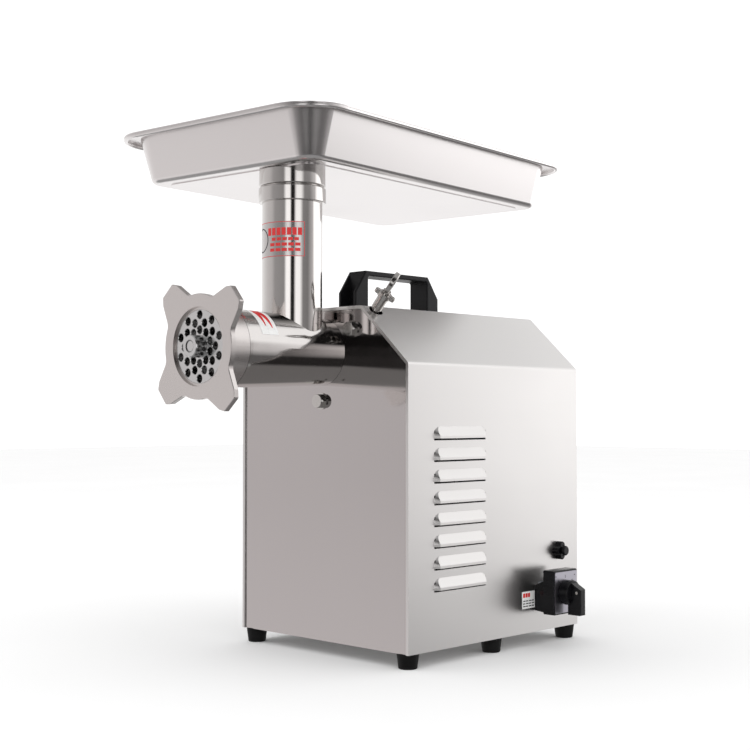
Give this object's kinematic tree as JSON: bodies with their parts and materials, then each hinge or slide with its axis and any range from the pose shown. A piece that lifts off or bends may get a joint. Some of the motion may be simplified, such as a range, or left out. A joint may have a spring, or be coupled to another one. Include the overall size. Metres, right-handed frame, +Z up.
{
  "type": "electric meat grinder",
  "caption": "Bench-top electric meat grinder: sheet-steel motor body, removable grinding head with auger, plate and star ring nut, tall feed tube and wide tray.",
  "frame": {"origin": "centre of the body's footprint, on the worktop", "axes": "+X to the switch side, +Y from the ring nut towards the back of the body, +Z up"},
  "size_m": [0.3839, 0.4931, 0.5062],
  "materials": {
    "body_sheet": "satin brushed stainless sheet",
    "panel_mirror": "mirror-polished stainless sheet",
    "head_polished": "polished stainless casting",
    "nut_satin": "fine satin stainless casting",
    "plate_steel": "ground stainless",
    "tray_steel": "satin stainless sheet",
    "bolt_steel": "bright stainless fastener",
    "zinc_steel": "zinc-plated steel",
    "machine_steel": "machined alloy steel",
    "cast_housing": "as-cast aluminium",
    "motor_paint": "satin black enamel",
    "lamination": "laminated electrical steel",
    "copper": "enamelled copper wire",
    "bronze": "sintered bronze",
    "black_plastic": "moulded black plastic, fine texture",
    "control_plastic": "moulded black plastic, semi-gloss",
    "rubber": "moulded black rubber",
    "switch_label": "printed aluminium foil",
    "grey_plastic": "moulded grey plastic",
    "white_plastic": "moulded white nylon"
  },
  "bodies": {
    "housing": {"cover_shell": "body_sheet", "front_panel": "panel_mirror", "rear_panel": "body_sheet", "base_plate": "body_sheet", "feet": "rubber", "foot_screws": "zinc_steel", "foot_nuts": "zinc_steel", "front_bolts": "bolt_steel", "front_washers": "bolt_steel", "rear_screws": "zinc_steel", "cable_gland": "control_plastic", "top_handle": "black_plastic", "handle_bolts": "zinc_steel", "gear_housing": "cast_housing", "gear_cover": "cast_housing", "gearbox_screws": "zinc_steel", "ball_bearings": "machine_steel", "layshaft_bushes": "bronze", "output_seal": "rubber", "motor_front_bell": "cast_housing", "motor_shell": "motor_paint", "motor_rear_bell": "cast_housing", "motor_screws": "zinc_steel", "motor_cradle": "zinc_steel", "stator_core": "lamination", "stator_windings": "copper", "start_capacitor": "grey_plastic", "capacitor_clip": "zinc_steel", "terminal_block": "white_plastic", "switch_box": "control_plastic", "switch_contacts": "grey_plastic", "switch_plate": "switch_label", "overload_breaker": "control_plastic", "reset_nut": "control_plastic"},
    "head": {"grinder_head": "head_polished", "feed_tube": "head_polished", "head_pins": "bolt_steel", "head_bush": "bronze", "cutter_plate": "plate_steel", "plate_key": "machine_steel", "thrust_washer": "white_plastic"},
    "ring_nut": {"ring_nut": "nut_satin"},
    "auger": {"auger": "head_polished", "auger_stud": "plate_steel", "knife": "plate_steel"},
    "tray": {"tray_pan": "tray_steel", "tray_spigot": "head_polished"},
    "output": {"output_gear": "machine_steel", "output_shaft": "machine_steel", "output_key": "machine_steel"},
    "layshaft": {"layshaft": "machine_steel", "layshaft_gear": "machine_steel"},
    "rotor": {"rotor_core": "lamination", "rotor_shaft": "machine_steel", "cooling_fan": "black_plastic"},
    "clamp_screw": {"clamp_screw": "bolt_steel"},
    "clamp_wing_nut": {"clamp_wing_nut": "bolt_steel"},
    "switch_knob": {"switch_knob": "control_plastic", "knob_screw": "bolt_steel"},
    "reset_button": {"reset_button": "control_plastic"}
  },
  "joints": [
    {"name": "head_slide", "type": "slide", "parent": "housing", "child": "head", "axis": [0, -1, 0], "range_m": [0, 0.08]},
    {"name": "nut_turn", "type": "hinge", "parent": "head", "child": "ring_nut", "pos_m": [0, -0.2695, 0.29], "axis": [0, -1, 0], "continuous": true},
    {"name": "auger_spin", "type": "hinge", "parent": "head", "child": "auger", "pos_m": [0, -0.1995, 0.29], "axis": [0, -1, 0], "continuous": true},
    {"name": "tray_lift", "type": "slide", "parent": "head", "child": "tray", "axis": [0, 0, 1], "range_m": [0, 0.045]},
    {"name": "output_spin", "type": "hinge", "parent": "housing", "child": "output", "pos_m": [0, -0.0475, 0.29], "axis": [0, -1, 0], "continuous": true},
    {"name": "layshaft_spin", "type": "hinge", "parent": "housing", "child": "layshaft", "pos_m": [0, -0.0395, 0.24575], "axis": [0, -1, 0], "continuous": true},
    {"name": "rotor_spin", "type": "hinge", "parent": "housing", "child": "rotor", "pos_m": [0, 0.0405, 0.2045], "axis": [0, -1, 0], "continuous": true},
    {"name": "clamp_turn", "type": "hinge", "parent": "housing", "child": "clamp_screw", "pos_m": [0.0601, -0.116, 0.3277], "axis": [0.6783, 0, 0.7348], "continuous": true},
    {"name": "wing_nut_turn", "type": "hinge", "parent": "clamp_screw", "child": "clamp_wing_nut", "pos_m": [0.0601, -0.116, 0.3277], "axis": [0.6783, 0, 0.7348], "continuous": true},
    {"name": "switch_turn", "type": "hinge", "parent": "housing", "child": "switch_knob", "pos_m": [0.145, 0.0705, 0.0545], "axis": [1, 0, 0], "range_deg": [-45, 45]},
    {"name": "reset_press", "type": "slide", "parent": "housing", "child": "reset_button", "axis": [-1, 0, 0], "range_m": [0, 0.002], "stiffness_N_per_m": 800}
  ],
  "couplings": [
    {"joint": "layshaft_spin", "follows": "rotor_spin", "ratio": -0.26923},
    {"joint": "output_spin", "follows": "rotor_spin", "ratio": 0.091783},
    {"joint": "auger_spin", "follows": "rotor_spin", "ratio": 0.091783}
  ]
}
